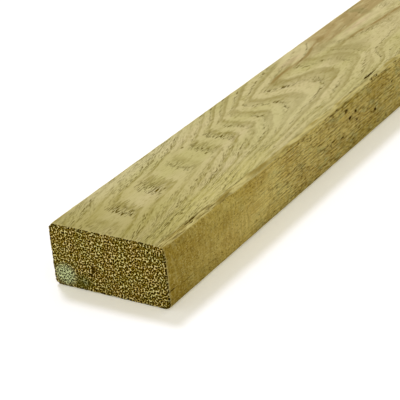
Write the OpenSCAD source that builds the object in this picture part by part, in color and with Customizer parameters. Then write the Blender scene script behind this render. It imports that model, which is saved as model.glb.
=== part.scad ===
// Treated pine batten: one straight length of dressed softwood.
// Its four long edges are eased to a small radius and both ends are sawn square.
// It lies on a wide face with its length along X and its width along Y.
// The origin is at the middle of the face that it lies on.

/* [Stock] */
// Length of the batten, as sold
stock_length = 1800; // [300:100:6000]
// Width of the two wide faces
face_width = 70; // [30:1:150]
// Thickness between the two wide faces
thickness = 35; // [16:1:75]

/* [Edges] */
// Radius that eases each long edge
arris_radius = 3; // [0.5:0.5:6]

/* [Hidden] */
// Sides of a full turn, for a smooth arris
$fn = 64;
// Flat part of a wide face, between its two arrises
wide_flat = face_width - 2 * arris_radius;
// Flat part of a narrow face, between its two arrises
narrow_flat = thickness - 2 * arris_radius;

// Cross section, standing on its lower wide face: two flats that cross, and a
// round bar of wood in each corner that the planer leaves as the eased arris
module eased_section() {
    translate([0, thickness / 2]) {
        square([wide_flat, thickness], center = true);
        square([face_width, narrow_flat], center = true);
        for (across = [-1, 1], up = [-1, 1])
            translate([across * wide_flat / 2, up * narrow_flat / 2])
                circle(r = arris_radius);
    }
}

// The section run out along X and cut off square at both ends
module batten() {
    color("#c3b57e")
        rotate([90, 0, 90])
            linear_extrude(height = stock_length, center = true)
                eased_section();
}

batten();
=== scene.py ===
import math

import bmesh
import bpy
from mathutils import Euler, Matrix, Vector


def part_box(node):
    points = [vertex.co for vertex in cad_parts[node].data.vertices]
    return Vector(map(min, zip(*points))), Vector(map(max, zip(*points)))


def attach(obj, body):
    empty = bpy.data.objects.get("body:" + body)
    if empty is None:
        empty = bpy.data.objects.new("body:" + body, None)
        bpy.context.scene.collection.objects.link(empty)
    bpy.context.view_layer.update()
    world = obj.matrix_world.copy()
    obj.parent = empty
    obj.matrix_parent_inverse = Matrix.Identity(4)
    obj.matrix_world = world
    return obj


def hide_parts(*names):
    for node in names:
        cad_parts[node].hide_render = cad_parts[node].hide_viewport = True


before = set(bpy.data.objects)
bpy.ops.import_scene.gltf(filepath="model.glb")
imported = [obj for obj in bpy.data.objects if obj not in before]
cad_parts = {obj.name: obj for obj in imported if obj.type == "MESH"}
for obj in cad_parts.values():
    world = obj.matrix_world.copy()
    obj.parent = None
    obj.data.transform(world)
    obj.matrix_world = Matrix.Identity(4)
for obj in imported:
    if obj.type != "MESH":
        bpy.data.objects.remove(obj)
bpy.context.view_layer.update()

# The batten: one length of pine, sawn from the log, dressed on the planer, which also eases its four
# long edges, cut off square at both ends and then pressure treated, so that it is green right through.
# It is a single piece. Its block is cut up finely here, to carry the grain, the tears and the sawn ends.
MM = 0.001
low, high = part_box("batten")
LENGTH = (high.x - low.x) / MM
WIDTH = (high.y - low.y) / MM
THICKNESS = (high.z - low.z) / MM
ARRIS_RADIUS = 3.0
ARRIS_SEGMENTS = 5
RIM_RADIUS = 0.4
# Strips that the flats are cut into, across the wide and the narrow faces
WIDE_STRIPS = 40
NARROW_STRIPS = 18
# The stretch at the near end that is cut finer, and the cuts in it, in the rest and on the ends
FINE_LENGTH = 400.0
FINE_CUTS = (9, 24)
COARSE_CUTS = (9, 11)
END_CUTS = 3
# An edge or a normal follows the length when at least this share of it does
STRAIGHT = 0.9
SMOOTH_ANGLE = math.radians(40)


def pick(kind, wanted):
    """In edit mode, select only the edges or faces of the batten for which wanted is true."""
    bpy.ops.mesh.select_all(action="DESELECT")
    bpy.ops.mesh.select_mode(type={"edges": "EDGE", "faces": "FACE"}[kind])
    shape = bmesh.from_edit_mesh(batten.data)
    for element in getattr(shape, kind):
        element.select_set(wanted(element))
    shape.select_flush_mode()
    bmesh.update_edit_mesh(batten.data)


def runs_along(edge):
    """True for an edge that follows the length."""
    run = edge.verts[1].co - edge.verts[0].co
    return abs(run.x) > STRAIGHT * run.length


def middle_along(edge):
    """Distance of an edge's middle from the near end, in mm."""
    return ((edge.verts[0].co.x + edge.verts[1].co.x) / 2 - low.x) / MM


bpy.ops.object.select_all(action="DESELECT")
bpy.ops.mesh.primitive_cube_add(size=1, location=(low + high) / 2, scale=high - low)
batten = bpy.context.active_object
batten.name = "batten_timber"
batten.data.name = "batten_timber"
bpy.ops.object.transform_apply(location=True, rotation=True, scale=True)

# The planer's eased arrises, and the slightly broken rim of the two saw cuts
bpy.ops.object.mode_set(mode="EDIT")
pick("edges", runs_along)
bpy.ops.mesh.bevel(offset=ARRIS_RADIUS * MM, segments=ARRIS_SEGMENTS, affect="EDGES")
pick("edges", lambda edge: not runs_along(edge))
bpy.ops.mesh.bevel(offset=RIM_RADIUS * MM, segments=1, affect="EDGES")

# Strips along the faces, which also square up the two ends
wide_flat = WIDTH - 2 * ARRIS_RADIUS
narrow_flat = THICKNESS - 2 * ARRIS_RADIUS
for cut in range(WIDE_STRIPS + 1):
    across = (cut / WIDE_STRIPS - 0.5) * wide_flat * MM
    bpy.ops.mesh.select_all(action="SELECT")
    bpy.ops.mesh.bisect(plane_co=(0, across, 0), plane_no=(0, 1, 0))
for cut in range(NARROW_STRIPS + 1):
    up = (cut / NARROW_STRIPS * narrow_flat + ARRIS_RADIUS) * MM
    bpy.ops.mesh.select_all(action="SELECT")
    bpy.ops.mesh.bisect(plane_co=(0, 0, up), plane_no=(0, 0, 1))

# Cuts along the length, closest together towards the near end, and a finer grid on both ends
bpy.ops.mesh.select_all(action="SELECT")
bpy.ops.mesh.bisect(plane_co=(low.x + FINE_LENGTH * MM, 0, 0), plane_no=(1, 0, 0))
for start, stop, rounds in (
    (2 * RIM_RADIUS, FINE_LENGTH, FINE_CUTS),
    (FINE_LENGTH, LENGTH - 2 * RIM_RADIUS, COARSE_CUTS),
):
    for cuts in rounds:
        pick("edges", lambda edge: runs_along(edge) and start < middle_along(edge) < stop)
        bpy.ops.mesh.subdivide(number_cuts=cuts)
pick("faces", lambda face: abs(face.normal.x) > STRAIGHT)
bpy.ops.mesh.subdivide(number_cuts=END_CUTS)
bpy.ops.object.mode_set(mode="OBJECT")

# How the log grew. The yearly rings stand round the pith, the tree's middle line, as long uneven shells.
# The pith runs up and down through the batten and out of it, so where the planer cuts the shells they
# show as the nested arches of the wide faces and as the slanting lines beside them.
RING_WIDTH = 3.3
# Stations from the near end at which one more year ends on the middle of the upper face, the first being
# FIRST_YEAR years from the pith, and then the pith's depth at stations further on
FIRST_YEAR = 1.95
YEAR_STATIONS = (13, 33, 65, 91, 112, 131, 147, 164, 192, 234, 262, 276)
PITH_DEPTH_AT_NEAR_END = 5.0
PITH_DEPTH_FURTHER_ON = (
    (330, 45), (430, 48), (620, 33), (860, 12), (1060, 21), (1330, 44), (1560, 38), (1800, 14),
)
# Years that a place is ahead of the middle of the face, by its distance from the left edge. At first the
# rings fall away to the left and crowd together to the right, and further on they are pointed arches.
YEARS_AT_FIRST = (
    (0, -3.6), (5.4, -2.5), (8, -1.9), (10.4, -1.6), (13, -1.1), (16, -0.5), (18, -0.15), (21, 0),
    (34, 0), (36, 0.02), (41, 0.75), (45, 1.35), (50, 2.05), (53.5, 2.75), (57, 3.75), (60, 4.75),
    (64, 5.8), (70, 7.5),
)
YEARS_FURTHER_ON = (
    (0, -1.5), (5, -0.95), (8.3, -0.6), (10, -0.35), (13, 0), (15.4, 0.3), (18, 0.65), (21, 0.62),
    (24, 0.55), (28, 0.34), (34, 0.06), (38, 0), (44, 0), (48, 0.2), (51, 0.62), (54, 1.0), (57, 1.25),
    (60, 1.55), (63, 2.05), (66, 2.8), (70, 3.9),
)
YEARS_RANGE = (-4.0, 8.0)
ARCHES_TURN_POINTED = (110, 190)
# How far the arches drift across past the stretch that shows most. Half of a curve's height is none.
DRIFT = ((0, 0), (330, 0), (520, -9), (800, 3), (1100, 10), (1400, -4), (1800, -8))
NO_DRIFT = 0.5
# The trunk sways over a hand's length and wavers over a finger's. Each fibre ends where it likes, within
# a long reach in the flat tops of the first arches, and within a short one beside them and further on.
SWAY_GRAIN, SWAY_REACH = (110, 30), (2.5, 2.5, 0)
WAVER_GRAIN, WAVER_REACH = (22, 6), (0, 1.6, 0)
FIBRE_GRAIN, LONG_REACH, SHORT_REACH = (24, 1.2), 12.0, 4.0
LONG_REACH_ENDS = (115, 165)
ARCH_MIDDLE = 28.0
ARCH_HALF_WIDTHS = (8.0, 15.0)
# Noise: how many times finer detail is laid over it, and the colour at its middle
SMOOTH, BROKEN, ROUGH = 1.0, 2.0, 3.0
NOISE_MIDDLE = (0.5, 0.5, 0.5)


def add(tree, kind, inputs=None, **settings):
    """Add a node with its settings, and give each input a value or a link from a socket or a node.

    The inputs From and To take a pair, for the two ends of a range.
    """
    made = tree.nodes.new(kind)
    for name, value in settings.items():
        setattr(made, name, value)
    wanted = {}
    for name, value in (inputs or {}).items():
        if name in ("From", "To"):
            wanted[f"{name} Min"], wanted[f"{name} Max"] = value
        else:
            wanted[name] = value
    shown = [socket for socket in made.inputs if socket.enabled]
    for name, value in wanted.items():
        socket = shown[name] if isinstance(name, int) else next(s for s in shown if s.name == name)
        if isinstance(value, bpy.types.Node):
            value = next(output for output in value.outputs if output.enabled)
        if isinstance(value, bpy.types.NodeSocket):
            tree.links.new(value, socket)
        else:
            socket.default_value = value
    return made


def place_in_mm(tree, position):
    """The place on the batten in mm: from the near end, from the left edge and from the lower face."""
    return add(tree, "ShaderNodeVectorMath", {
        0: position, 1: (1 / MM, -1 / MM, 1 / MM), 2: (-low.x / MM, high.y / MM, -low.z / MM),
    }, operation="MULTIPLY_ADD")


def drawn_out(tree, place, grain):
    """The place, measured in grains that are so many mm long along the batten and so many mm broad."""
    length, breadth = grain
    return add(tree, "ShaderNodeVectorMath", {
        0: place, 1: (1 / length, 1 / breadth, 1 / breadth),
    }, operation="MULTIPLY")


def grain_noise(tree, place, grain, detail):
    """Noise at a place, in waves drawn out into a grain, with so much finer detail over it."""
    return add(tree, "ShaderNodeTexNoise", {
        "Vector": drawn_out(tree, place, grain), "Scale": 1.0, "Detail": detail,
    })


def swung(tree, start, place, grain, detail, reach):
    """The start, swung to and fro by noise of a grain at a place, by so many mm in all each way."""
    swing = add(tree, "ShaderNodeVectorMath", {
        0: grain_noise(tree, place, grain, detail).outputs["Color"], 1: NOISE_MIDDLE,
    }, operation="SUBTRACT")
    return add(tree, "ShaderNodeVectorMath", {0: swing, 1: reach, 2: start}, operation="MULTIPLY_ADD")


def apart(tree, value, middle):
    """How far a value is from a middle, either way."""
    offset = add(tree, "ShaderNodeMath", {0: value, 1: middle}, operation="SUBTRACT")
    return add(tree, "ShaderNodeMath", {0: offset}, operation="ABSOLUTE")


def lay_curve(curve, points):
    """Give a curve node its points, which run from 0 to 1 both ways."""
    line = curve.mapping.curves[0]
    for here, value in points[1:-1]:
        line.points.new(here, value)
    line.points[0].location = points[0]
    line.points[len(line.points) - 1].location = points[-1]
    for point in line.points:
        point.handle_type = "AUTO_CLAMPED"
    curve.mapping.update()
    return curve


def grow_rings(tree, place, with_fibres=True):
    """How far a place is from the pith, in years. The whole number is the year. Fibres make it ragged."""
    moved = place
    for grain, reach in ((SWAY_GRAIN, SWAY_REACH), (WAVER_GRAIN, WAVER_REACH)):
        moved = swung(tree, moved, place, grain, SMOOTH, reach)
    if with_fibres:
        far_along, far_across = add(tree, "ShaderNodeSeparateXYZ", {0: place}).outputs[:2]
        near_reach = add(tree, "ShaderNodeMapRange", {
            "Value": apart(tree, far_across, ARCH_MIDDLE),
            "From": ARCH_HALF_WIDTHS, "To": (LONG_REACH, SHORT_REACH),
        })
        fibre_reach = add(tree, "ShaderNodeMapRange", {
            "Value": far_along, "From": LONG_REACH_ENDS, "To": (near_reach, SHORT_REACH),
        })
        lengthwise = add(tree, "ShaderNodeCombineXYZ", {0: fibre_reach})
        moved = swung(tree, moved, place, FIBRE_GRAIN, SMOOTH, lengthwise)
    along, across, up = add(tree, "ShaderNodeSeparateXYZ", {0: moved}).outputs
    # How deep the pith lies, and how far the place is above or below it
    share = add(tree, "ShaderNodeMath", {0: along, 1: LENGTH}, operation="DIVIDE")
    years = [(station, (FIRST_YEAR + year) * RING_WIDTH) for year, station in enumerate(YEAR_STATIONS)]
    depths = [(0, PITH_DEPTH_AT_NEAR_END), *years, *PITH_DEPTH_FURTHER_ON]
    depth_curve = lay_curve(
        add(tree, "ShaderNodeFloatCurve", {"Value": share}),
        [(station / LENGTH, depth / WIDTH) for station, depth in depths],
    )
    from_top = add(tree, "ShaderNodeMath", {0: up, 1: THICKNESS}, operation="SUBTRACT")
    above = add(tree, "ShaderNodeMath", {0: depth_curve, 1: WIDTH, 2: from_top}, operation="MULTIPLY_ADD")
    radius = add(tree, "ShaderNodeMath", {0: above}, operation="ABSOLUTE")
    # How far the shells lean over across the width
    drift_curve = lay_curve(
        add(tree, "ShaderNodeFloatCurve", {"Value": share}),
        [(station / LENGTH, NO_DRIFT + drift / WIDTH) for station, drift in DRIFT],
    )
    drift = add(tree, "ShaderNodeMath", {0: NO_DRIFT, 1: drift_curve}, operation="SUBTRACT")
    side = add(tree, "ShaderNodeMath", {0: across, 1: 1 / WIDTH, 2: drift}, operation="MULTIPLY_ADD")
    least, most = YEARS_RANGE
    at_first, further_on = [
        lay_curve(
            add(tree, "ShaderNodeFloatCurve", {"Value": side}),
            [(left / WIDTH, (years - least) / (most - least)) for left, years in shape],
        ) for shape in (YEARS_AT_FIRST, YEARS_FURTHER_ON)
    ]
    pointed = add(tree, "ShaderNodeMapRange", {"Value": along, "From": ARCHES_TURN_POINTED})
    shape = add(tree, "ShaderNodeMix", {"Factor": pointed, "A": at_first, "B": further_on})
    ahead = add(tree, "ShaderNodeMath", {0: shape, 1: most - least, 2: least}, operation="MULTIPLY_ADD")
    return add(tree, "ShaderNodeMath", {0: radius, 1: 1 / RING_WIDTH, 2: ahead}, operation="MULTIPLY_ADD")


# What the planer, the saw and the yard did to it: hollows in the surface. Each has its middle, as mm from
# the near end, from the left edge and from the lower face, then its reach those three ways, then its depth.
RUBBED_ARRISES = (
    ((0, 70, 35), (85, 9, 7), 0.9),
    ((62, 69.6, 33.6), (6, 2.4, 2.4), 0.8),
    ((0, 0, 0), (55, 5.5, 5.5), 0.9),
)
SLITS = (
    ((232, 66.1, 34.9), (7, 1.15, 1.5), 0.9),
    ((239, 66.0, 34.9), (5, 0.5, 1.5), 0.3),
    ((233, 69.3, 34.0), (7, 1.1, 1.1), 0.8),
    ((11, 65.8, 34.9), (8, 0.5, 1.5), 0.16),
    ((31, 65.8, 34.9), (11, 0.6, 1.5), 0.3),
    ((29.5, 67.0, 34.6), (3, 0.7, 1.2), 0.25),
    ((58, 66.5, 34.8), (12, 0.45, 1.2), 0.12),
    ((47, 67.4, 34.4), (8, 0.5, 1.5), 0.18),
    ((57, 69.2, 33.6), (5, 0.6, 0.7), 0.12),
    ((3, 70, 9.9), (6, 1.0, 0.5), 0.3),
    ((17, 70, 9.1), (9, 1.0, 0.3), 0.16),
    ((38, 70, 7.2), (12, 1.0, 0.3), 0.13),
    ((0, 25.2, 13.6), (3, 0.9, 2.0), 0.8),
    ((0, 23.8, 10.4), (3, 1.3, 1.0), 0.8),
)
PITS = (
    ((194.8, 70, 27.3), (2.2, 1.4, 1.2), 0.6),
    ((206.6, 70, 22.8), (2.1, 1.4, 1.1), 0.55),
    ((199.2, 70, 21.3), (2.0, 1.4, 1.5), 0.6),
    ((207.6, 70, 17.0), (2.0, 1.4, 1.2), 0.4),
    ((231.8, 70, 13.8), (1.8, 1.4, 1.4), 0.6),
    ((183, 70, 32.4), (2.0, 1.4, 0.6), 0.25),
    ((175.5, 70, 32.1), (2.2, 1.4, 0.6), 0.22),
    ((169.6, 70, 32.4), (2.4, 1.4, 0.6), 0.18),
    ((188.5, 70, 13.2), (3.4, 1.4, 0.8), 0.3),
    ((174.2, 70, 14.2), (0.7, 1.4, 2.0), 0.3),
    ((177, 70, 15.6), (4, 1.4, 0.6), 0.25),
    ((136.5, 70, 31.6), (1.8, 1.4, 0.6), 0.2),
    ((256, 70, 22.4), (1.3, 1.4, 1.0), 0.4),
)
HOLLOWS = (*RUBBED_ARRISES, *SLITS, *PITS)
# A hollow starts at the first share of its reach and has its full depth at the second. Its edges wander
# over this size, by so much in all each way, and faces about it are cut finer, so that it can take shape.
HOLLOW_SLOPE = (1.0, 0.3)
RAGGED_SIZE = 1.4
RAGGED_REACH = (3.0, 1.0, 1.4)
HOLLOW_CUTS = 2
HOLLOW_MARGIN = 1.5
# Springwood, soft and early in the year, is worn lower, and fibres stand up
SPRINGWOOD_DEPTH = 0.08
SPRINGWOOD_ENDS = (0.5, 0.85)
FIBRE_RELIEF_GRAIN = (14, 2.2)
FIBRE_DEPTH = 0.06
# Chips off the rims of the saw cuts, and how far along from an end they come
CHIP_SIZE = 1.6
CHIP_LEVELS = (0.45, 0.65)
CHIP_DEPTH = 0.7
CHIP_REACH = (2.5, 0.3)
# Cell mouths and fibre ends on the sawn ends, drawn coarser than the real ones so that they show, and
# how near an end they take over from the dressed faces
CELL_SIZE = (0.88, 0.95)
CELL_RANDOMNESS = 0.9
CELL_UNEVENNESS = 0.5
CELL_LEVELS = (0.46, 0.94)
CELL_DEPTH = 0.45
END_REACH = (0.5, 0.1)


def near_a_hollow(face):
    """True for a face that lies in or beside one of the hollows."""
    middle = face.calc_center_median()
    spot = ((middle.x - low.x) / MM, (high.y - middle.y) / MM, (middle.z - low.z) / MM)
    return any(
        all(abs(here - there) < far + HOLLOW_MARGIN for here, there, far in zip(spot, centre, reach))
        for centre, reach, _ in HOLLOWS
    )


bpy.ops.object.mode_set(mode="EDIT")
pick("faces", near_a_hollow)
bpy.ops.mesh.subdivide(number_cuts=HOLLOW_CUTS)
bpy.ops.object.mode_set(mode="OBJECT")


def nearest_faces(tree, place):
    """How far a place is from the nearer end, the nearer narrow face and the nearer wide face."""
    nearest = []
    reaches = add(tree, "ShaderNodeSeparateXYZ", {0: place}).outputs
    for reach, size in zip(reaches, (LENGTH, WIDTH, THICKNESS)):
        other = add(tree, "ShaderNodeMath", {0: size, 1: reach}, operation="SUBTRACT")
        nearest.append(add(tree, "ShaderNodeMath", {0: reach, 1: other}, operation="MINIMUM"))
    return nearest


def hollow_depth(tree, place, hollows):
    """Depth in mm of the deepest of the hollows at a place, all of them ragged."""
    ragged = swung(tree, place, place, (RAGGED_SIZE, RAGGED_SIZE), SMOOTH, RAGGED_REACH)
    deepest = 0.0
    for centre, reach, depth in hollows:
        offset = add(tree, "ShaderNodeVectorMath", {0: ragged, 1: centre}, operation="SUBTRACT")
        share = add(tree, "ShaderNodeVectorMath", {0: offset, 1: reach}, operation="DIVIDE")
        far = add(tree, "ShaderNodeVectorMath", {0: share}, operation="LENGTH")
        hollow = add(tree, "ShaderNodeMapRange", {
            "Value": far.outputs["Value"], "From": HOLLOW_SLOPE, "To": (0, depth),
        }, interpolation_type="SMOOTHSTEP")
        deepest = add(tree, "ShaderNodeMath", {0: deepest, 1: hollow}, operation="MAXIMUM")
    return deepest


def cell_mouths(tree, place):
    """The sawn end's cells, from 0 at the bottom of a mouth to 1 at the tip of a fibre."""
    across, up = add(tree, "ShaderNodeSeparateXYZ", {0: place}).outputs[1:]
    spot = add(tree, "ShaderNodeCombineXYZ", {
        0: add(tree, "ShaderNodeMath", {0: across, 1: CELL_SIZE[0]}, operation="DIVIDE"),
        1: add(tree, "ShaderNodeMath", {0: up, 1: CELL_SIZE[1]}, operation="DIVIDE"),
    })
    mouth = add(tree, "ShaderNodeTexVoronoi", {
        "Vector": spot, "Scale": 1.0, "Randomness": CELL_RANDOMNESS,
    }, voronoi_dimensions="2D")
    uneven = add(tree, "ShaderNodeTexNoise", {"Vector": spot, "Scale": 1.0, "Detail": SMOOTH})
    mixed = add(tree, "ShaderNodeMath", {0: uneven, 1: CELL_UNEVENNESS, 2: mouth}, operation="MULTIPLY_ADD")
    return add(tree, "ShaderNodeMapRange", {"Value": mixed, "From": CELL_LEVELS})


relief = bpy.data.node_groups.new("grain relief", "GeometryNodeTree")
relief.interface.new_socket("Geometry", in_out="INPUT", socket_type="NodeSocketGeometry")
relief.interface.new_socket("Geometry", in_out="OUTPUT", socket_type="NodeSocketGeometry")
place = place_in_mm(relief, add(relief, "GeometryNodeInputPosition"))
from_end = nearest_faces(relief, place)[0]
# The dressed faces, with their hollows and the chips off the rims
springwood_depth = add(relief, "ShaderNodeMapRange", {
    "Value": add(relief, "ShaderNodeMath", {0: grow_rings(relief, place)}, operation="FRACT"),
    "From": SPRINGWOOD_ENDS, "To": (SPRINGWOOD_DEPTH, 0),
}, interpolation_type="SMOOTHSTEP")
fibre_noise = grain_noise(relief, place, FIBRE_RELIEF_GRAIN, BROKEN)
chip_noise = grain_noise(relief, place, (CHIP_SIZE, CHIP_SIZE), SMOOTH)
dressed_depth = add(relief, "ShaderNodeMath", {
    0: fibre_noise, 1: FIBRE_DEPTH, 2: springwood_depth,
}, operation="MULTIPLY_ADD")
chipped_depth = add(relief, "ShaderNodeMath", {
    0: add(relief, "ShaderNodeMapRange", {"Value": chip_noise, "From": CHIP_LEVELS, "To": (0, CHIP_DEPTH)}),
    1: add(relief, "ShaderNodeMapRange", {"Value": from_end, "From": CHIP_REACH}),
    2: hollow_depth(relief, place, HOLLOWS),
}, operation="MULTIPLY_ADD")
sides_depth = add(relief, "ShaderNodeMath", {0: dressed_depth, 1: chipped_depth}, operation="ADD")
# The sawn ends, and all of it moved inwards
sawn_depth = add(relief, "ShaderNodeMapRange", {"Value": cell_mouths(relief, place), "To": (CELL_DEPTH, 0)})
depth = add(relief, "ShaderNodeMix", {
    "Factor": add(relief, "ShaderNodeMapRange", {"Value": from_end, "From": END_REACH}),
    "A": sides_depth, "B": sawn_depth,
})
inwards = add(relief, "ShaderNodeVectorMath", {
    0: add(relief, "GeometryNodeInputNormal"),
    "Scale": add(relief, "ShaderNodeMath", {0: depth, 1: -MM}, operation="MULTIPLY"),
}, operation="SCALE")
moved = add(relief, "GeometryNodeSetPosition", {
    "Geometry": add(relief, "NodeGroupInput"), "Offset": inwards,
})
add(relief, "NodeGroupOutput", {0: moved})
bpy.ops.object.modifier_add(type="NODES")
batten.modifiers[0].node_group = relief
bpy.ops.object.modifier_apply(modifier=batten.modifiers[0].name)
bpy.ops.object.shade_smooth_by_angle(angle=SMOOTH_ANGLE)

# Treated pine, dressed. Pale olive springwood and darker summerwood, with short dark fibres along the
# grain. The narrow faces are browner, rubbed and pitted. The sawn ends are open cell mouths, coarse and
# dark. It has no coating, so it is matt all over, without a sheen.
SPRINGWOOD = "#c1b77a"
SPRINGWOOD_TAN = "#cec08d"
SPRINGWOOD_PALE = "#d6cb9a"
SPRINGWOOD_OLIVE = "#a89a48"
SPRINGWOOD_YELLOW = "#d0c46e"
SUMMERWOOD = "#978a47"
SUMMERWOOD_TAN = "#9a8c52"
DASH = "#665400"
# Pale threads, and the painted highlight beside the dark strokes
THREAD = "#d8cd96"
HEART = "#b19b68"
HEART_DARK = "#91753d"
HEART_GREY = "#9f905e"
HEART_PALE = "#d1c390"
HEART_PINK = "#d1b790"
NARROW_PALE = "#e2ce76"
NARROW_BROWN = "#ccb25c"
NARROW_DARK = "#563c00"
NARROW_FIBRE = "#d8cb88"
NARROW_FOOT = "#a48a20"
NARROW_MOULD = "#b2af6c"
SOAKED = "#9c8229"
PIT = "#3c2600"
SLIT = "#463400"
# Pale torn fibres on the arrises, with a painted highlight along them
RUBBED_WITH_HIGHLIGHT = "#d4c580"
RUBBED_OLIVE = "#ae9c58"
SPLINTER_DARK = "#685210"
STRIP_BROWN = "#947f3a"
# Painted highlight on the raised fibres along the rims of the ends
RIM_HIGHLIGHT = "#bfb171"
END_DARK = "#180e00"
END_MIDDLE = "#886a00"
END_FIBRE = "#d8bc44"
END_PALE = "#fff2b2"
END_GREENISH = "#fafff0"
END_BROWNISH = "#fff8ee"
STAIN_PALE = "#f4ffbe"
STAIN_DARK = "#545c10"
ROUGHNESS = 0.8
IOR = 1.5
SHEEN = 0.0
# Each kind of noise in the wood: the length and breadth of its waves in mm, and how fine its detail is
GRAINS = {
    "break": ((9, 2.2), BROKEN),
    "patch": ((22, 11), SMOOTH),
    "mottle": ((60, 16), BROKEN),
    "streak": ((22, 0.75), BROKEN),
    "blotch": ((26, 11), ROUGH),
    "mould": ((8, 4), ROUGH),
    "line": ((90, 14), SMOOTH),
    "saw": ((2.2, 9), BROKEN),
    "soaked grit": ((1.0, 0.65), BROKEN),
    "dry grit": ((4.0, 0.5), BROKEN),
    "splinter": ((10, 0.75), ROUGH),
    "tear": ((20, 3), BROKEN),
    "end": ((8, 8), SMOOTH),
}
# The noise levels over which one shade gives way to another
SHADE_LEVELS = (0.35, 0.65)


def linear(colour):
    """An sRGB hex colour as linear light with full alpha."""
    channels = [int(colour[start:start + 2], 16) / 255 for start in (1, 3, 5)]
    return (*(c / 12.92 if c <= 0.04045 else ((c + 0.055) / 1.055) ** 2.4 for c in channels), 1.0)


def marked(value, levels, share, strength):
    """How strong a mark is in the wood: from none to a share over the value's levels, times a strength."""
    shown = add(wood, "ShaderNodeMapRange", {"Value": value, "From": levels, "To": (0, share)})
    return add(wood, "ShaderNodeMath", {0: shown, 1: strength}, operation="MULTIPLY")


def coated(colour, *coats):
    """The wood's colour with coats laid over it in turn, each a share and the coat's own colour."""
    for share, coat in coats:
        under, over = [linear(each) if isinstance(each, str) else each for each in (colour, coat)]
        colour = add(wood, "ShaderNodeMix", {"Factor": share, "A": under, "B": over}, data_type="RGBA")
    return colour


pine = bpy.data.materials.new("treated_pine")
pine.use_nodes = True
wood = pine.node_tree
wood.nodes.clear()
place = place_in_mm(wood, add(wood, "ShaderNodeTexCoord").outputs["Object"])
along, across, up = add(wood, "ShaderNodeSeparateXYZ", {0: place}).outputs
from_end, from_narrow, from_wide = nearest_faces(wood, place)
rings = grow_rings(wood, place)
even_rings = grow_rings(wood, place, with_fibres=False)
noise = {name: grain_noise(wood, place, grain, detail) for name, (grain, detail) in GRAINS.items()}

# Through a year, from 0 to 1, how dark the wood is and how crowded the strokes are: summerwood comes in
# with short dark strokes and ends in a soft darker edge
NARROW_BAND = (
    (0, 0.15), (0.08, 0), (0.4, 0.02), (0.55, 0.35), (0.7, 0.5), (0.84, 1), (0.93, 0.9), (1, 0.15),
)
BROAD_BAND = (
    (0, 0.12), (0.08, 0), (0.3, 0.06), (0.5, 0.38), (0.7, 0.6), (0.87, 1), (0.95, 0.9), (1, 0.12),
)
TORN_STROKES = ((0, 0.06), (0.36, 0.06), (0.48, 1), (0.66, 0.72), (0.85, 0.36), (0.95, 0.28), (1, 0.06))
CLEAN_STROKES = ((0, 0.04), (0.34, 0.04), (0.44, 1), (0.52, 0.9), (0.64, 0.2), (0.95, 0.2), (1, 0.04))
# No two years are alike, and past the last arch they are faint for a stretch. Towards the near end the
# planer tore the fibres, which breaks the years up, and further up it cut them clean.
YEAR_STRENGTHS = (0.5, 1.0)
FAINT_STATIONS = ((235.0, 300.0), (560.0, 430.0))
FAINT_YEARS = 0.45
CLEAN_STATIONS = (118.0, 165.0)
BREAK_LEVELS = (0.36, 0.58)
TORN_UNBROKEN, CLEAN_UNBROKEN = 0.35, 0.85
# Where the clean arches have their tips, and bands are broad
TIP_MIDDLE = 42.0
TIP_HALF_WIDTHS = (13.0, 4.0)
season = add(wood, "ShaderNodeMath", {0: rings}, operation="FRACT")
narrow_band, broad_band, torn_strokes, clean_strokes = [
    lay_curve(add(wood, "ShaderNodeFloatCurve", {"Value": season}), points)
    for points in (NARROW_BAND, BROAD_BAND, TORN_STROKES, CLEAN_STROKES)
]
year = add(wood, "ShaderNodeTexWhiteNoise", {
    "W": add(wood, "ShaderNodeMath", {0: rings}, operation="FLOOR"),
}, noise_dimensions="1D")
cleaner = add(wood, "ShaderNodeMapRange", {"Value": along, "From": CLEAN_STATIONS})
clear_years = FAINT_YEARS
for stations in FAINT_STATIONS:
    clear_years = add(wood, "ShaderNodeMath", {
        0: clear_years,
        1: add(wood, "ShaderNodeMapRange", {
            "Value": along, "From": stations, "To": (1, FAINT_YEARS),
        }, interpolation_type="SMOOTHSTEP"),
    }, operation="MAXIMUM")
years_strength = add(wood, "ShaderNodeMath", {
    0: clear_years, 1: add(wood, "ShaderNodeMapRange", {"Value": year, "To": YEAR_STRENGTHS}),
}, operation="MULTIPLY")
least_unbroken = add(wood, "ShaderNodeMapRange", {"Value": cleaner, "To": (TORN_UNBROKEN, CLEAN_UNBROKEN)})
unbroken = add(wood, "ShaderNodeMapRange", {
    "Value": noise["break"], "From": BREAK_LEVELS, "To": (least_unbroken, 1),
})
tip = add(wood, "ShaderNodeMapRange", {
    "Value": apart(wood, across, TIP_MIDDLE), "From": TIP_HALF_WIDTHS,
}, interpolation_type="SMOOTHSTEP")
summer = add(wood, "ShaderNodeMix", {
    "Factor": add(wood, "ShaderNodeMath", {0: cleaner, 1: tip}, operation="MULTIPLY"),
    "A": narrow_band, "B": broad_band,
})
for strength in (unbroken, years_strength):
    summer = add(wood, "ShaderNodeMath", {0: summer, 1: strength}, operation="MULTIPLY")

# Fibres: dark strokes with pale edges, a painted highlight on their raised sides, crowded where the
# summerwood comes in, and fine threads and lines elsewhere. In the flat tops of the first arches they run
# straight along the batten, and beside them they follow the rings, which lie about SLANTED_RING_WIDTH apart
# there. Each pair of grains is for those two.
STROKE_GRAINS = ((4.2, 0.6), (4.0, 0.58))
FINE_GRAINS = ((3.6, 0.75), (3.6, 0.75))
SLANTED_RING_WIDTH = 5.0
SCATTERED_SHARE, SCATTERED_STROKES = 0.6, 0.45
STROKES_THIN_OUT, STROKE_STRENGTHS = (20.0, 85.0), (1.25, 1.05)
STROKE_ARCH_STRENGTHS = (0.92, 0.98)
CROWD_LEVELS, CROWD_LEAST = (0.36, 0.55), 0.4
DASH_LEVELS, DASH_SHARE = (0.505, 0.62), 1.35
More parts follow.
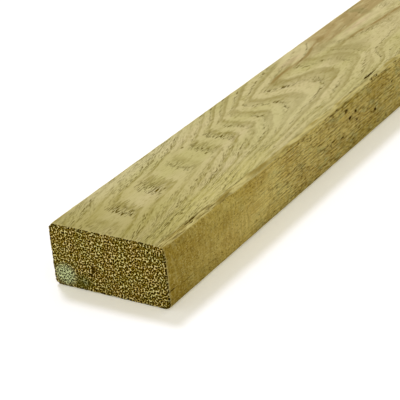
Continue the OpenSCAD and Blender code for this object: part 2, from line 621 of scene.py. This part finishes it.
# Pale edges beside the strokes: a painted highlight on their raised sides
PALE_EDGE_HIGHLIGHT_LEVELS, PALE_EDGE_HIGHLIGHT_SHARE = (0.5, 0.36), 0.3
FINE_ARCH_STRENGTHS, FINE_CLEAN_STRENGTHS = (0.35, 0.44), (1.0, 2.2)
THREAD_LEVELS, THREAD_SHARE = (0.52, 0.72), 0.4
LINE_LEVELS, LINE_SHARE = (0.45, 0.29), 1.0
# Dots, one to a cell of this length and breadth, and their radii as shares of a cell
DOT_GRAIN = (20, 8)
DOT_RADII, DOT_SHARES = (0.09, 0.05), (0.8, 0.25)
askew_place = add(wood, "ShaderNodeCombineXYZ", {
    0: along,
    1: add(wood, "ShaderNodeMath", {0: even_rings, 1: SLANTED_RING_WIDTH}, operation="MULTIPLY"),
    2: up,
})
beside_arch = add(wood, "ShaderNodeMath", {
    0: add(wood, "ShaderNodeMapRange", {
        "Value": apart(wood, across, ARCH_MIDDLE), "From": ARCH_HALF_WIDTHS,
    }),
    1: add(wood, "ShaderNodeMath", {0: 1, 1: cleaner}, operation="SUBTRACT"),
}, operation="MULTIPLY")
fibre_noises = []
for grains in (STROKE_GRAINS, FINE_GRAINS):
    straight, askew = [
        grain_noise(wood, way, grain, BROKEN) for way, grain in zip((place, askew_place), grains)
    ]
    fibre_noises.append(add(wood, "ShaderNodeMix", {"Factor": beside_arch, "A": straight, "B": askew}))
stroke, fine = fibre_noises
crowd = add(wood, "ShaderNodeMix", {
    "Factor": add(wood, "ShaderNodeMath", {0: beside_arch, 1: SCATTERED_SHARE}, operation="MULTIPLY"),
    "A": add(wood, "ShaderNodeMix", {"Factor": cleaner, "A": torn_strokes, "B": clean_strokes}),
    "B": SCATTERED_STROKES,
})
for strength in (
    years_strength,
    add(wood, "ShaderNodeMapRange", {
        "Value": noise["patch"], "From": CROWD_LEVELS, "To": (CROWD_LEAST, 1),
    }),
    add(wood, "ShaderNodeMapRange", {"Value": along, "From": STROKES_THIN_OUT, "To": STROKE_STRENGTHS}),
    add(wood, "ShaderNodeMapRange", {"Value": beside_arch, "To": STROKE_ARCH_STRENGTHS}),
):
    crowd = add(wood, "ShaderNodeMath", {0: crowd, 1: strength}, operation="MULTIPLY")
fine_strength = add(wood, "ShaderNodeMath", {
    0: add(wood, "ShaderNodeMapRange", {"Value": beside_arch, "To": FINE_ARCH_STRENGTHS}),
    1: add(wood, "ShaderNodeMapRange", {"Value": cleaner, "To": FINE_CLEAN_STRENGTHS}),
}, operation="MULTIPLY")
dash = marked(stroke, DASH_LEVELS, DASH_SHARE, crowd)
# Painted highlight beside the strokes, in the threads' pale colour
pale_edge_highlight = marked(stroke, PALE_EDGE_HIGHLIGHT_LEVELS, PALE_EDGE_HIGHLIGHT_SHARE, crowd)
thread = marked(fine, THREAD_LEVELS, THREAD_SHARE, fine_strength)
line = marked(fine, LINE_LEVELS, LINE_SHARE, fine_strength)
dot_cells = add(wood, "ShaderNodeTexVoronoi", {"Vector": drawn_out(wood, place, DOT_GRAIN), "Scale": 1.0})
dot_share = add(wood, "ShaderNodeMapRange", {"Value": cleaner, "To": DOT_SHARES})
dot = add(wood, "ShaderNodeMapRange", {"Value": dot_cells, "From": DOT_RADII, "To": (0, dot_share)})

# The dressed wide faces: mottled springwood, with the bands, threads, lines and the painted highlights
# beside the strokes laid over it
BAND_SHARES = (0.85, 0.9)
mottled = add(wood, "ShaderNodeMapRange", {"Value": noise["mottle"], "From": SHADE_LEVELS})
band_share = add(wood, "ShaderNodeMath", {
    0: summer, 1: add(wood, "ShaderNodeMapRange", {"Value": cleaner, "To": BAND_SHARES}),
}, operation="MULTIPLY")
summer_colour = coated(SUMMERWOOD, (cleaner, SUMMERWOOD_TAN))
thread_and_highlight_share = add(wood, "ShaderNodeMath", {0: thread, 1: pale_edge_highlight}, operation="MAXIMUM")
wide_colour = coated(
    SPRINGWOOD, (mottled, SPRINGWOOD_TAN), (band_share, summer_colour),
    (thread_and_highlight_share, THREAD), (line, SUMMERWOOD),
)

# Patches of other shades, each with its middle, reach and strength, as the hollows have. Past the last
# arch the heart of the log comes to the surface along the left: pale stretches, then a brown one with a
# sharp edge and patches of its own.
WIDE_PATCHES = (
    (SPRINGWOOD_PALE, (
        ((75, 3, 35), (90, 11, 8), 0.5),
        ((165, 46, 35), (50, 15, 8), 0.35),
    )),
    (SPRINGWOOD_OLIVE, (
        ((45, 46, 35), (60, 17, 8), 0.22),
        ((20, 18, 35), (60, 8, 8), 0.2),
    )),
    (SPRINGWOOD_YELLOW, (
        ((55, 61, 35), (95, 11, 8), 0.35),
    )),
    (HEART_PALE, (
        ((254, 6, 35), (34, 10, 8), 0.9),
        ((322, 21.5, 35), (80, 6, 8), 0.9),
        ((300, 43, 35), (32, 10, 8), 0.3),
    )),
    (HEART_PINK, (
        ((312, 20.5, 35), (26, 3, 8), 0.45),
        ((236, 11, 35), (22, 4, 8), 0.35),
    )),
)
HEART_BROWN_START = (264.0, 282.0)
HEART_BROWN_EDGE = (18.2, 16.6)
HEART_BROWN_PATCHES = (
    (HEART_GREY, (
        ((334, 9, 35), (6, 14, 8), 0.9),
        ((300, 14, 35), (24, 4, 8), 0.4),
        ((266, 34, 35), (34, 14, 8), 0.45),
        ((266, 17, 35), (24, 7, 8), 0.5),
    )),
    (HEART_DARK, (
        ((276, 10, 35), (8, 4, 8), 0.6),
        ((322, 6, 35), (8, 4, 8), 0.25),
    )),
)
HEART_STOP = (600.0, 460.0)
UPPER_SIDE = (THICKNESS - 8, THICKNESS - 3)
# Two soft dark lines: the distances from the left edge at stations along them, the stations at which a
# line starts, is full, is still full and has gone, its half width and its strength. Each falls off to the
# right over a broader stretch.
HEART_LINES = (
    (((180, 24), (190, 21.5), (196, 19.3), (203, 17.4), (212, 16.2), (224, 15.7), (240, 16.3), (250, 15.8),
      (260, 13.7), (268, 11.4), (276, 9.3), (286, 6.5), (400, 2)), (194, 208, 268, 282), 1.6, 0.7),
    (((180, 22), (262, 25), (277, 27), (290, 27), (305, 28.4), (317, 30.3), (333, 31.8), (350, 32.8),
      (400, 36)), (262, 300, 372, 398), 1.7, 0.8),
)
HEART_LINES_RANGE = (180.0, 400.0)
HEART_LINE_CORE = 0.3
HEART_LINE_FALL, HEART_LINE_FALL_SHARE = 5.5, 0.55
# Grain of the heart's own, and how far its patches and lines swing about
HEART_SWING_GRAIN, HEART_SWING = (30, 6), (16, 2.2, 0)
HEART_GRAIN, HEART_GRAIN_SHARE = (13, 3), 0.4
HEART_GRAIN_START, HEART_GRAIN_EDGE = (195.0, 275.0), (48.0, 30.0)
HEART_GRAIN_MARKS = (((0.52, 0.7), THREAD), ((0.5, 0.32), HEART_GREY))
heart_place = swung(wood, place, place, HEART_SWING_GRAIN, ROUGH, HEART_SWING)
heart_along, heart_across = add(wood, "ShaderNodeSeparateXYZ", {0: heart_place}).outputs[:2]
upper_side = add(wood, "ShaderNodeMapRange", {"Value": up, "From": UPPER_SIDE})
zones = []
for zone, limits in (
    (upper_side, (
        (heart_along, HEART_BROWN_START), (heart_along, HEART_STOP), (heart_across, HEART_BROWN_EDGE),
    )),
    (HEART_GRAIN_SHARE, ((along, HEART_GRAIN_START), (along, HEART_STOP), (across, HEART_GRAIN_EDGE))),
):
    for value, limit in limits:
        within = add(wood, "ShaderNodeMapRange", {"Value": value, "From": limit})
        zone = add(wood, "ShaderNodeMath", {0: zone, 1: within}, operation="MULTIPLY")
    zones.append(zone)
heart_brown, heart_zone = zones
coats = [(hollow_depth(wood, heart_place, patches), coat) for coat, patches in WIDE_PATCHES]
coats.append((heart_brown, HEART))
coats.extend((hollow_depth(wood, heart_place, patches), coat) for coat, patches in HEART_BROWN_PATCHES)
first, last = HEART_LINES_RANGE
heart_share = add(wood, "ShaderNodeMapRange", {"Value": heart_along, "From": HEART_LINES_RANGE})
for points, (none, full, still_full, gone), half_width, strength in HEART_LINES:
    course = lay_curve(
        add(wood, "ShaderNodeFloatCurve", {"Value": heart_share}),
        [((station - first) / (last - first), left / WIDTH) for station, left in points],
    )
    beyond = add(wood, "ShaderNodeMath", {
        0: heart_across, 1: add(wood, "ShaderNodeMath", {0: course, 1: WIDTH}, operation="MULTIPLY"),
    }, operation="SUBTRACT")
    core = add(wood, "ShaderNodeMapRange", {
        "Value": add(wood, "ShaderNodeMath", {0: beyond}, operation="ABSOLUTE"),
        "From": (half_width, HEART_LINE_CORE * half_width),
    })
    fall = add(wood, "ShaderNodeMath", {
        0: add(wood, "ShaderNodeMapRange", {"Value": beyond, "From": (-half_width, 0)}),
        1: add(wood, "ShaderNodeMapRange", {
            "Value": beyond, "From": (HEART_LINE_FALL, 0), "To": (0, HEART_LINE_FALL_SHARE),
        }),
    }, operation="MULTIPLY")
    shown = add(wood, "ShaderNodeMath", {0: core, 1: fall}, operation="MAXIMUM")
    for window in (
        add(wood, "ShaderNodeMapRange", {"Value": along, "From": (none, full), "To": (0, strength)}),
        add(wood, "ShaderNodeMapRange", {"Value": along, "From": (gone, still_full)}),
        upper_side,
    ):
        shown = add(wood, "ShaderNodeMath", {0: shown, 1: window}, operation="MULTIPLY")
    coats.append((shown, HEART_DARK))
heart_noise = grain_noise(wood, heart_place, HEART_GRAIN, ROUGH)
for levels, coat in HEART_GRAIN_MARKS:
    mark = add(wood, "ShaderNodeMapRange", {"Value": heart_noise, "From": levels})
    coats.append((add(wood, "ShaderNodeMath", {0: mark, 1: heart_zone}, operation="MULTIPLY"), coat))
# Over these lie the soaked ends, and then the strokes and dots
WIDE_SOAK_REACH, WIDE_SOAK_SHARE = (55.0, 0.0), 0.4
coats.append((add(wood, "ShaderNodeMapRange", {
    "Value": from_end, "From": WIDE_SOAK_REACH, "To": (0, WIDE_SOAK_SHARE),
}, interpolation_type="SMOOTHSTEP"), SUMMERWOOD))
coats.append((add(wood, "ShaderNodeMath", {0: dash, 1: dot}, operation="MAXIMUM"), DASH))
wide_colour = coated(wide_colour, *coats)

# The narrow faces: the rings run along them as fine dark lines, between fibre streaks, cross marks of the
# saw, grit and faint mould, with a duller foot and dull patches. The stretch beside an end has soaked up
# more of the treatment, which hides most of this.
NARROW_PATCHES = (
    ((62, 70, 28), (45, 8, 16), 0.4),
    ((200, 70, 31), (24, 8, 6), 0.55),
    ((214, 70, 5), (44, 8, 10), 0.6),
    ((240, 70, 22), (40, 8, 18), 0.3),
)
FOOT_UNEVENNESS, FOOT_HEIGHTS, FOOT_SHARE = 12.0, (16.0, 9.0), 0.35
SOAK_REACH, SOAK_SHARE = (80.0, -5.0), 0.92
PAST_SOAK_STATIONS, IN_SOAK = (60.0, 130.0), 0.25
MOULD_LEVELS, MOULD_SHARE = (0.55, 0.72), 0.7
NARROW_LINE_SPACING = 2.0
NARROW_LINE_SWING = 1.6
NARROW_LINE = ((0, 0.1), (0.15, 0), (0.5, 0.06), (0.78, 1), (0.9, 0.9), (1, 0.1))
NARROW_LINE_STRENGTHS = (0.1, 0.85)
DARK_STREAK_LEVELS, DARK_STREAK_SHARE = (0.5, 0.66), 0.5
DARK_SAW_LEVELS, DARK_SAW_SHARE = (0.47, 0.7), 0.36
DARK_GRIT_LEVELS, DARK_GRIT_SHARES = (0.53, 0.66), (0.65, 0.9)
BRIGHT_STREAK_LEVELS, BRIGHT_STREAK_SHARE = (0.42, 0.25), 0.4
BRIGHT_SAW_LEVELS, BRIGHT_SAW_SHARE = (0.45, 0.3), 0.2
BRIGHT_GRIT_LEVELS, BRIGHT_GRIT_SHARES = (0.46, 0.28), (0.6, 0.8)
PECK_RADII, PECK_SHARE = (0.11, 0.06), 0.5
browner = add(wood, "ShaderNodeMapRange", {"Value": noise["blotch"], "From": SHADE_LEVELS})
foot = add(wood, "ShaderNodeMapRange", {
    "Value": add(wood, "ShaderNodeMath", {
        0: noise["blotch"], 1: FOOT_UNEVENNESS, 2: up,
    }, operation="MULTIPLY_ADD"),
    "From": FOOT_HEIGHTS, "To": (0, FOOT_SHARE),
})
dull = add(wood, "ShaderNodeMath", {
    0: foot, 1: hollow_depth(wood, place, NARROW_PATCHES),
}, operation="MAXIMUM")
soak = add(wood, "ShaderNodeMapRange", {
    "Value": from_end, "From": SOAK_REACH, "To": (0, SOAK_SHARE),
}, interpolation_type="SMOOTHSTEP")
past_soak = add(wood, "ShaderNodeMapRange", {
    "Value": from_end, "From": PAST_SOAK_STATIONS, "To": (IN_SOAK, 1),
})
mould = marked(noise["mould"], MOULD_LEVELS, MOULD_SHARE, past_soak)
peck = marked(dot_cells, PECK_RADII, PECK_SHARE, past_soak)
line_swing = add(wood, "ShaderNodeMath", {0: noise["line"], 1: NARROW_LINE_SWING}, operation="MULTIPLY")
line_season = add(wood, "ShaderNodeMath", {
    0: add(wood, "ShaderNodeMath", {
        0: up, 1: 1 / NARROW_LINE_SPACING, 2: line_swing,
    }, operation="MULTIPLY_ADD"),
}, operation="FRACT")
year_lines = lay_curve(add(wood, "ShaderNodeFloatCurve", {"Value": line_season}), NARROW_LINE)
for strength in (
    past_soak,
    add(wood, "ShaderNodeMapRange", {
        "Value": noise["break"], "From": SHADE_LEVELS, "To": NARROW_LINE_STRENGTHS,
    }),
):
    year_lines = add(wood, "ShaderNodeMath", {0: year_lines, 1: strength}, operation="MULTIPLY")
grit = add(wood, "ShaderNodeMix", {
    "Factor": past_soak, "A": noise["soaked grit"], "B": noise["dry grit"],
})
dark_grit_share, bright_grit_share = [
    add(wood, "ShaderNodeMapRange", {"Value": past_soak, "From": (IN_SOAK, 1), "To": shares})
    for shares in (DARK_GRIT_SHARES, BRIGHT_GRIT_SHARES)
]
strongest = []
for marks, kinds in (
    (year_lines, (
        (noise["streak"], DARK_STREAK_LEVELS, DARK_STREAK_SHARE, past_soak),
        (noise["saw"], DARK_SAW_LEVELS, DARK_SAW_SHARE, 1),
        (grit, DARK_GRIT_LEVELS, 1, dark_grit_share),
    )),
    (0.0, (
        (noise["streak"], BRIGHT_STREAK_LEVELS, BRIGHT_STREAK_SHARE, past_soak),
        (noise["saw"], BRIGHT_SAW_LEVELS, BRIGHT_SAW_SHARE, 1),
        (grit, BRIGHT_GRIT_LEVELS, 1, bright_grit_share),
    )),
):
    for kind in kinds:
        marks = add(wood, "ShaderNodeMath", {0: marks, 1: marked(*kind)}, operation="MAXIMUM")
    strongest.append(marks)
dark_marks, bright_marks = strongest
narrow_colour = coated(
    NARROW_PALE, (browner, NARROW_BROWN), (dull, NARROW_FOOT), (soak, SOAKED), (mould, NARROW_MOULD),
    (dark_marks, NARROW_DARK), (bright_marks, NARROW_FIBRE), (peck, PIT),
)

# The arrises: a strip of torn fibres, pale where they are fresh, with a painted highlight along the arris,
# brown or dark where they have lifted off. On the right it is broader towards the near end, and on both
# sides where the arris is rubbed.
STRIP_PATCHES = (
    ((8, 68, 34.6), (10, 2.6, 2.4), 0.2),
    ((58, 68.6, 34.4), (11, 2.8, 2.6), 0.85),
    ((96, 68.2, 34.6), (17, 2.6, 2.4), 0.8),
)
ROUGH_STRIP_STATIONS, ROUGH_STRIP_SIDE = (120.0, 40.0), (30.0, 40.0)
# How far the strip reaches over a wide face, plain and rough, and how it grows with the depth of a rub
STRIP_REACHES = (2.4, 4.7)
STRIP_PER_RUB, STRIP_UNRUBBED = 30.0, -17.0
STRIP_NARROW_REACH = 1.7
STRIP_TEAR_LEVELS, STRIP_WIDE_TEAR, STRIP_NARROW_TEAR = (0.2, 0.8), (-1.4, 1.4), (0.9, -0.9)
STRIP_WIDE_EDGE, STRIP_NARROW_EDGE = (-0.1, 0.4), (0.3, -0.1)
OLIVE_LEVELS = (0.5, 0.62)
SPLINTER_LEVELS, SPLINTER_RUB, SPLINTER_SHARES = (0.5, 0.62), (0.0, 0.5), (0.35, 0.75)
LIFTED_BORDER = ((-0.7, -0.1), (0.7, 0.1))
LIFTED_LEVELS, LIFTED_SHARES = (0.46, 0.56), (0.4, 0.8)
rub_depth = hollow_depth(wood, place, RUBBED_ARRISES)
rough_strip = add(wood, "ShaderNodeMath", {
    0: add(wood, "ShaderNodeMapRange", {"Value": along, "From": ROUGH_STRIP_STATIONS}),
    1: add(wood, "ShaderNodeMapRange", {"Value": across, "From": ROUGH_STRIP_SIDE}),
}, operation="MULTIPLY")
strip_reach = add(wood, "ShaderNodeMapRange", {"Value": rough_strip, "To": STRIP_REACHES})
strip_wide = add(wood, "ShaderNodeMath", {
    0: add(wood, "ShaderNodeMath", {0: strip_reach, 1: from_narrow}, operation="SUBTRACT"),
    1: add(wood, "ShaderNodeMath", {
        0: rub_depth, 1: STRIP_PER_RUB, 2: STRIP_UNRUBBED,
    }, operation="MULTIPLY_ADD"),
}, operation="MAXIMUM")
strip_narrow = add(wood, "ShaderNodeMath", {0: STRIP_NARROW_REACH, 1: from_wide}, operation="SUBTRACT")
strip_wide, strip_narrow = [
    add(wood, "ShaderNodeMath", {
        0: reach,
        1: add(wood, "ShaderNodeMapRange", {
            "Value": noise["tear"], "From": STRIP_TEAR_LEVELS, "To": tears,
        }),
    }, operation="ADD")
    for reach, tears in ((strip_wide, STRIP_WIDE_TEAR), (strip_narrow, STRIP_NARROW_TEAR))
]
strip = add(wood, "ShaderNodeMapRange", {"Value": strip_wide, "From": STRIP_WIDE_EDGE})
narrow_share = add(wood, "ShaderNodeMapRange", {"Value": strip_narrow, "From": STRIP_NARROW_EDGE})
olive_share = add(wood, "ShaderNodeMapRange", {"Value": noise["tear"], "From": OLIVE_LEVELS})
splinter_most = add(wood, "ShaderNodeMapRange", {
    "Value": rub_depth, "From": SPLINTER_RUB, "To": SPLINTER_SHARES,
})
splinter_share = add(wood, "ShaderNodeMapRange", {
    "Value": noise["splinter"], "From": SPLINTER_LEVELS, "To": (0, splinter_most),
})
# The pale strip carries a painted highlight along the arris as well as the torn fibres' own colour
strip_colour = coated(
    RUBBED_WITH_HIGHLIGHT, (olive_share, RUBBED_OLIVE), (splinter_share, SPLINTER_DARK),
    (hollow_depth(wood, place, STRIP_PATCHES), STRIP_BROWN),
)
lifted_most = add(wood, "ShaderNodeMapRange", {"Value": rough_strip, "To": LIFTED_SHARES})
lifted = add(wood, "ShaderNodeMapRange", {
    "Value": noise["patch"], "From": LIFTED_LEVELS, "To": (0, lifted_most),
})
for border in LIFTED_BORDER:
    lifted = add(wood, "ShaderNodeMath", {
        0: lifted, 1: add(wood, "ShaderNodeMapRange", {"Value": strip_wide, "From": border}),
    }, operation="MULTIPLY")

# The sawn ends: pale fibre ends and dark cell mouths, greener here and browner there, with the treatment's
# green stain in one corner, pale in its middle and dark beside it. A stain has its share in the mouths,
# then its patches. Torn cells reach round the rim. Inside the outline the end is darkened, a painted shade,
# and outside it the rim is paler, a painted highlight on its raised fibres.
STAINS = (
    (STAIN_DARK, 0.5, (
        ((0, 17.5, 4.5), (20, 8, 6.5), 0.6),
        ((0, 13.5, 13.5), (20, 4, 3), 0.3),
        ((0, 7.5, 7), (20, 9.5, 9), 0.45),
    )),
    (STAIN_PALE, 0.015, (
        ((0, 7.5, 7), (20, 8.5, 8), 1.0),
        ((0, 19.5, 5), (20, 2.6, 2), 0.25),
    )),
)
STAIN_LEVELS = (0.2, 0.6)
END_STOPS = ((0.12, END_DARK), (0.5, END_MIDDLE), (0.76, END_FIBRE), (0.98, END_PALE))
# The rim's painted highlight on its raised fibres: its unevenness, reach and strength
RIM_HIGHLIGHT_UNEVENNESS, RIM_HIGHLIGHT_REACH, RIM_HIGHLIGHT_SHARE = 2.4, (3.4, 2.0), 0.65
# Painted shade inside the end's outline: its unevenness, reach and strength
OUTLINE_SHADE_UNEVENNESS, OUTLINE_SHADE_REACH, OUTLINE_SHADE_SHARE = 4.0, (3.6, 2.0), 0.5
TORN_CELLS_REACH = (1.1, 0.85)
cells = cell_mouths(wood, place)
end_ramp = add(wood, "ShaderNodeValToRGB", {0: cells})
stops = end_ramp.color_ramp.elements
stops[0].position = END_STOPS[0][0]
stops[1].position = END_STOPS[-1][0]
for position, _ in END_STOPS[1:-1]:
    stops.new(position)
for stop, (_, stop_colour) in zip(stops, END_STOPS):
    stop.color = linear(stop_colour)
end_browner = add(wood, "ShaderNodeMapRange", {"Value": noise["end"], "From": SHADE_LEVELS})
end_colour = add(wood, "ShaderNodeMix", {
    "Factor": 1.0, "A": end_ramp, "B": coated(END_GREENISH, (end_browner, END_BROWNISH)),
}, data_type="RGBA", blend_type="MULTIPLY")
end_coats = []
for stain_colour, in_mouths, stains in STAINS:
    on_fibres = add(wood, "ShaderNodeMapRange", {
        "Value": cells, "From": STAIN_LEVELS, "To": (in_mouths, 1),
    })
    end_coats.append((add(wood, "ShaderNodeMath", {
        0: hollow_depth(wood, place, stains), 1: on_fibres,
    }, operation="MULTIPLY"), stain_colour))
# The end is darker along its outline: painted shade towards its edges
from_shaded_outline = add(wood, "ShaderNodeMath", {
    0: noise["end"], 1: OUTLINE_SHADE_UNEVENNESS,
    2: add(wood, "ShaderNodeMath", {0: from_narrow, 1: from_wide}, operation="MINIMUM"),
}, operation="MULTIPLY_ADD")
end_coats.append((add(wood, "ShaderNodeMapRange", {
    "Value": from_shaded_outline, "From": OUTLINE_SHADE_REACH, "To": (0, OUTLINE_SHADE_SHARE),
}), END_DARK))
end_colour = coated(end_colour, *end_coats)
# The rim beside each end is painted paler: a painted highlight on its raised fibres
from_rim = add(wood, "ShaderNodeMath", {
    0: noise["splinter"], 1: RIM_HIGHLIGHT_UNEVENNESS, 2: from_end,
}, operation="MULTIPLY_ADD")
rim_highlight = add(wood, "ShaderNodeMapRange", {"Value": from_rim, "From": RIM_HIGHLIGHT_REACH, "To": (0, RIM_HIGHLIGHT_SHARE)})
end_share = add(wood, "ShaderNodeMapRange", {
    "Value": add(wood, "ShaderNodeMath", {0: cells, 1: CELL_DEPTH, 2: from_end}, operation="MULTIPLY_ADD"),
    "From": TORN_CELLS_REACH,
})

# All of it together: the strip and its lifted fibres on the wide faces, the narrow faces, the painted
# highlight on the rims, the ends, and the slits and pits, which turn dark between these depths
HOLLOW_DARK_DEPTHS = (0.02, 0.25)
slit_share, pit_share = [
    add(wood, "ShaderNodeMapRange", {
        "Value": hollow_depth(wood, place, hollows), "From": HOLLOW_DARK_DEPTHS,
    }) for hollows in (SLITS, PITS)
]
colour = coated(
    wide_colour, (strip, strip_colour), (lifted, DASH), (narrow_share, narrow_colour), (rim_highlight, RIM_HIGHLIGHT),
    (end_share, end_colour), (slit_share, SLIT), (pit_share, PIT),
)

# Fibres stand proud, and the strokes and marks between them lie low
BUMP_STRENGTH, BUMP_HEIGHT = 0.8, 0.4
wide_height = add(wood, "ShaderNodeMath", {0: fine, 1: dash}, operation="SUBTRACT")
narrow_height = add(wood, "ShaderNodeMath", {0: noise["streak"], 1: dark_marks}, operation="SUBTRACT")
sides_height = add(wood, "ShaderNodeMix", {"Factor": narrow_share, "A": wide_height, "B": narrow_height})
height = add(wood, "ShaderNodeMix", {"Factor": end_share, "A": sides_height, "B": cells})
bump = add(wood, "ShaderNodeBump", {
    "Strength": BUMP_STRENGTH, "Distance": BUMP_HEIGHT * MM, "Height": height,
})
pine_shader = add(wood, "ShaderNodeBsdfPrincipled", {
    "Base Color": colour, "Roughness": ROUGHNESS, "IOR": IOR, "Specular IOR Level": SHEEN, "Normal": bump,
})
add(wood, "ShaderNodeOutputMaterial", {"Surface": pine_shader})
batten.data.materials.append(pine)

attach(batten, "root")
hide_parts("batten")

# The studio: a white floor that keeps a soft shadow, an even and faintly warm sky for fill, and one soft
# lamp from behind on the far side, so that the shadow falls in front of the near end and of the right
# side. The camera sees the sky as plain white.
FLOOR_REACH = 30.0
FLOOR_COLOUR = "#ebebf2"
FLOOR_GLOW = (0.31, 0.29, 0.21, 1)
SKY_LEVEL, SKY_SEEN_LEVEL = 0.65, 1.0
SKY_COLOUR, SKY_SEEN_COLOUR = "#fffdf3", "#ffffff"
KEY_LEVEL = 0.35
KEY_COLOUR = "#ecefff"
KEY_AZIMUTH = math.radians(140)
KEY_ELEVATION = math.radians(61)
KEY_SPREAD = math.radians(11)
KEY_HEIGHT = 2.0

bpy.ops.object.select_all(action="DESELECT")
bpy.ops.mesh.primitive_plane_add(size=2 * FLOOR_REACH, location=(0, 0, low.z))
floor = bpy.context.active_object
floor.name = "studio_floor"
paper = bpy.data.materials.new("white_paper")
paper.use_nodes = True
sheet = paper.node_tree
sheet.nodes.clear()
sky = bpy.data.worlds.new("white_sky")
sky.use_nodes = True
air = sky.node_tree
air.nodes.clear()
seen = {}
for tree in (sheet, air):
    rays = add(tree, "ShaderNodeLightPath")
    mirrored = add(tree, "ShaderNodeMath", {
        0: rays.outputs["Is Glossy Ray"], 1: rays.outputs["Is Transmission Ray"],
    }, operation="MAXIMUM")
    seen[tree] = add(tree, "ShaderNodeMath", {
        0: rays.outputs["Is Camera Ray"], 1: mirrored,
    }, operation="MAXIMUM")
glow = add(sheet, "ShaderNodeEmission", {"Color": FLOOR_GLOW, "Strength": seen[sheet]})
matt = add(sheet, "ShaderNodeBsdfDiffuse", {"Color": linear(FLOOR_COLOUR)})
add(sheet, "ShaderNodeOutputMaterial", {"Surface": add(sheet, "ShaderNodeAddShader", {0: matt, 1: glow})})
floor.data.materials.append(paper)
level = add(air, "ShaderNodeMapRange", {"Value": seen[air], "To": (SKY_LEVEL, SKY_SEEN_LEVEL)})
tint = add(air, "ShaderNodeMix", {
    "Factor": seen[air], "A": linear(SKY_COLOUR), "B": linear(SKY_SEEN_COLOUR),
}, data_type="RGBA")
daylight = add(air, "ShaderNodeBackground", {"Color": tint, "Strength": level})
add(air, "ShaderNodeOutputWorld", {"Surface": daylight})
bpy.context.scene.world = sky

key_turn = (math.pi / 2 - KEY_ELEVATION, 0, KEY_AZIMUTH)
bpy.ops.object.light_add(type="SUN", location=(0, 0, KEY_HEIGHT), rotation=key_turn)
key = bpy.context.active_object
key.name = "key_lamp"
key.data.angle = KEY_SPREAD
key.data.color = linear(KEY_COLOUR)[:3]
key.data.energy = KEY_LEVEL * math.pi / math.sin(KEY_ELEVATION) / linear(KEY_COLOUR)[0]

# The camera stands in front of the near end, to its right, and looks down along the batten through a
# long lens, held a little askew.
CAMERA_AIM = Vector((low.x + 51 * MM, high.y - 59.2 * MM, high.z))
CAMERA_DISTANCE = 769.7 * MM
CAMERA_AZIMUTH = math.radians(-56.16)
CAMERA_ELEVATION = math.radians(26.01)
CAMERA_ROLL = math.radians(-5.48)
CAMERA_LENS = 136.6

aimed = Euler((math.pi / 2 - CAMERA_ELEVATION, 0, CAMERA_AZIMUTH)).to_matrix()
turn = aimed @ Matrix.Rotation(CAMERA_ROLL, 3, "Z")
bpy.ops.object.camera_add(location=CAMERA_AIM + CAMERA_DISTANCE * turn.col[2], rotation=turn.to_euler())
camera = bpy.context.active_object
camera.data.lens = CAMERA_LENS
bpy.context.scene.camera = camera
bpy.context.scene.view_settings.view_transform = "Standard"
